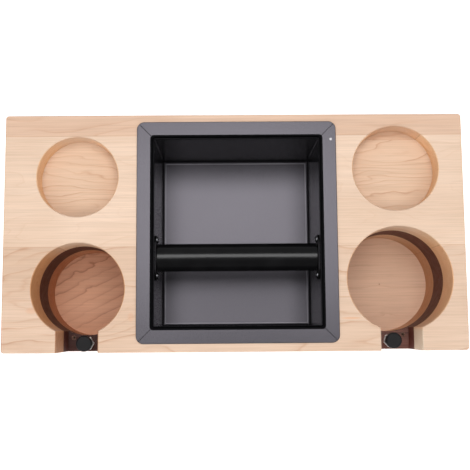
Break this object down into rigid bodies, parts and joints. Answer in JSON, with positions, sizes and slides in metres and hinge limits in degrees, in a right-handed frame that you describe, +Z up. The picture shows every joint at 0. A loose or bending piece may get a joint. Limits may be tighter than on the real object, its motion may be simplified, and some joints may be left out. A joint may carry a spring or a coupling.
{
  "type": "espresso knock box station",
  "caption": "Layered wooden espresso station block with a drop-in black steel knock-out bin, portafilter pockets and tamper recesses.",
  "frame": {"origin": "on the table under the middle of the block, at the bottom of the feet", "axes": "+X to the right along the block, +Y to its back, away from the two front slots, +Z up"},
  "size_m": [0.36, 0.186, 0.1062],
  "materials": {
    "maple_front": "oiled",
    "maple_middle": "oiled",
    "maple_back": "oiled",
    "walnut": "oiled",
    "base_wood": "oiled",
    "coated_steel": "satin black powder coat",
    "rubber": "matt",
    "pad_rubber": "satin",
    "steel": "plain",
    "black_steel": "blackened",
    "brass": "plain"
  },
  "bodies": {
    "block": {"top_board_back": "maple_back", "top_board_left": "maple_middle", "top_board_right": "maple_middle", "top_board_front_left": "maple_front", "top_board_front_middle": "maple_front", "top_board_front_right": "maple_front", "walnut_layer": "walnut", "base_layer": "base_wood", "foot_front_left": "rubber", "foot_front_right": "rubber", "foot_back_left": "rubber", "foot_back_right": "rubber", "foot_screws": "steel", "left_thread_insert": "brass", "right_thread_insert": "brass"},
    "bin": {"knock_bin": "coated_steel", "bar_tube": "steel", "bar_sleeve": "rubber", "left_bar_plate": "coated_steel", "right_bar_plate": "coated_steel", "bar_screws": "black_steel", "bar_nuts": "steel"},
    "left_pad": {"left_rest_pad": "pad_rubber"},
    "left_stud": {"left_stud": "steel"},
    "left_nut": {"left_jam_nut": "steel"},
    "right_pad": {"right_rest_pad": "pad_rubber"},
    "right_stud": {"right_stud": "steel"},
    "right_nut": {"right_jam_nut": "steel"}
  },
  "joints": [
    {"name": "bin_lift", "type": "slide", "parent": "block", "child": "bin", "axis": [0, 0, 1], "range_m": [0, 0.12]},
    {"name": "left_pad_height", "type": "slide", "parent": "block", "child": "left_pad", "axis": [0, 0, 1], "range_m": [-0.0075, 0.008]},
    {"name": "left_stud_turn", "type": "hinge", "parent": "left_pad", "child": "left_stud", "pos_m": [-0.1218, -0.0865, 0.055], "axis": [0, 0, 1], "range_deg": [-2700.5, 2880.5]},
    {"name": "left_nut_turn", "type": "hinge", "parent": "block", "child": "left_nut", "pos_m": [-0.1218, -0.0865, 0.0575], "axis": [0, 0, 1], "range_deg": [0, 360]},
    {"name": "right_pad_height", "type": "slide", "parent": "block", "child": "right_pad", "axis": [0, 0, 1], "range_m": [-0.0075, 0.008]},
    {"name": "right_stud_turn", "type": "hinge", "parent": "right_pad", "child": "right_stud", "pos_m": [0.1282, -0.08575, 0.055], "axis": [0, 0, 1], "range_deg": [-2700.5, 2880.5]},
    {"name": "right_nut_turn", "type": "hinge", "parent": "block", "child": "right_nut", "pos_m": [0.1282, -0.08575, 0.0575], "axis": [0, 0, 1], "range_deg": [0, 360]}
  ],
  "couplings": [
    {"joint": "left_stud_turn", "follows": "left_pad_height", "rad_per_m": 6283.2},
    {"joint": "right_stud_turn", "follows": "right_pad_height", "rad_per_m": 6283.2}
  ]
}
